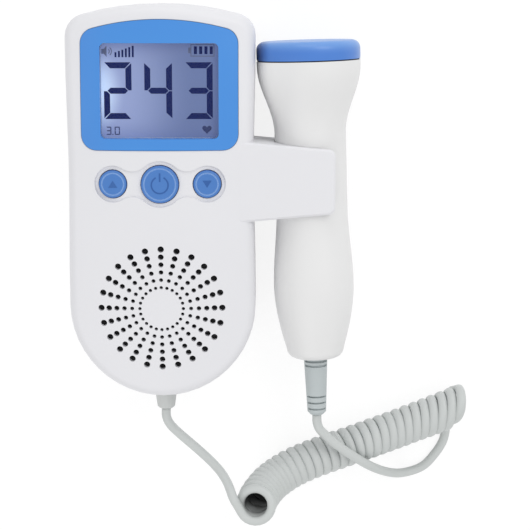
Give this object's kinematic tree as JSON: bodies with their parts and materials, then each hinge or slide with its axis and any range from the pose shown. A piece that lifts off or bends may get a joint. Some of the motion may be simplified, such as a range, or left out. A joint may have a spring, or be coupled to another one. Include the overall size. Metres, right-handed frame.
{
  "type": "fetal doppler monitor",
  "caption": "Handheld fetal doppler monitor with a blue-framed screen, push buttons, round speaker grille, side clip, ultrasound probe and curly cord.",
  "frame": {"origin": "centre of the main unit's flat back, on the surface it lies on", "axes": "+X to the right seen from the front, +Y towards the screen end, +Z out of the front"},
  "size_m": [0.1357, 0.1791, 0.0358],
  "materials": {
    "white_housing": "fine satin moulded plastic",
    "blue_gloss": "polished translucent blue moulding",
    "blue_plastic": "smooth moulded plastic",
    "clear_cover": "clear flat cover",
    "liquid_crystal": "backlit panel with dark segments",
    "light_guide": "milky light guide",
    "white_inner": "plain inner moulding",
    "circuit_board": "green solder mask",
    "black_plastic": "moulded black",
    "steel": "zinc plated",
    "speaker_paper": "pressed paper",
    "magnet": "sintered",
    "foam": "soft foam",
    "felt": "thin felt",
    "cell_jacket": "shrink sleeve with no print",
    "spring_plate": "nickel plated",
    "grey_vinyl": "soft vinyl",
    "seal_rubber": "soft ring",
    "backing_resin": "cast filled resin",
    "ceramic": "silvered ceramic",
    "cord_jacket": "soft vinyl jacket"
  },
  "bodies": {
    "unit": {"front_shell": "white_housing", "rear_shell": "white_housing", "display_bezel": "blue_gloss", "screen_cover": "clear_cover", "lcd_panel": "liquid_crystal", "backlight_panel": "light_guide", "lcd_frame": "white_inner", "main_board": "circuit_board", "button_switches": "black_plastic", "speaker_frame": "steel", "speaker_cone": "speaker_paper", "speaker_magnet": "magnet", "speaker_gasket": "foam", "dust_felt": "felt", "battery_left": "cell_jacket", "battery_right": "cell_jacket", "battery_contacts": "spring_plate", "shell_screws": "steel", "unit_strain_relief": "grey_vinyl", "cord_unit_lead": "cord_jacket", "cord_coil": "cord_jacket", "cord_probe_lead": "cord_jacket"},
    "power_button": {"power_button": "blue_plastic"},
    "up_button": {"up_button": "blue_plastic"},
    "down_button": {"down_button": "blue_plastic"},
    "battery_door": {"battery_door": "white_housing"},
    "probe": {"probe_front_shell": "white_housing", "probe_rear_shell": "white_housing", "transducer_cap": "blue_plastic", "cap_seal_ring": "seal_rubber", "crystal_backing": "backing_resin", "transmit_crystal": "ceramic", "receive_crystal": "ceramic", "probe_board": "circuit_board", "probe_strain_relief": "grey_vinyl"}
  },
  "joints": [
    {"name": "power_button_press", "type": "slide", "parent": "unit", "child": "power_button", "axis": [0, 0, -1], "range_m": [0, 0.0006], "stiffness_N_per_m": 400},
    {"name": "up_button_press", "type": "slide", "parent": "unit", "child": "up_button", "axis": [0, 0, -1], "range_m": [0, 0.0006], "stiffness_N_per_m": 400},
    {"name": "down_button_press", "type": "slide", "parent": "unit", "child": "down_button", "axis": [0, 0, -1], "range_m": [0, 0.0006], "stiffness_N_per_m": 400},
    {"name": "door_swing", "type": "hinge", "parent": "unit", "child": "battery_door", "pos_m": [0, -0.0592, 0], "axis": [-1, 0, 0], "range_deg": [0, 80]},
    {"name": "probe_slide", "type": "slide", "parent": "unit", "child": "probe", "axis": [0.9996, 0.0288, 0], "range_m": [0, 0.024]}
  ]
}
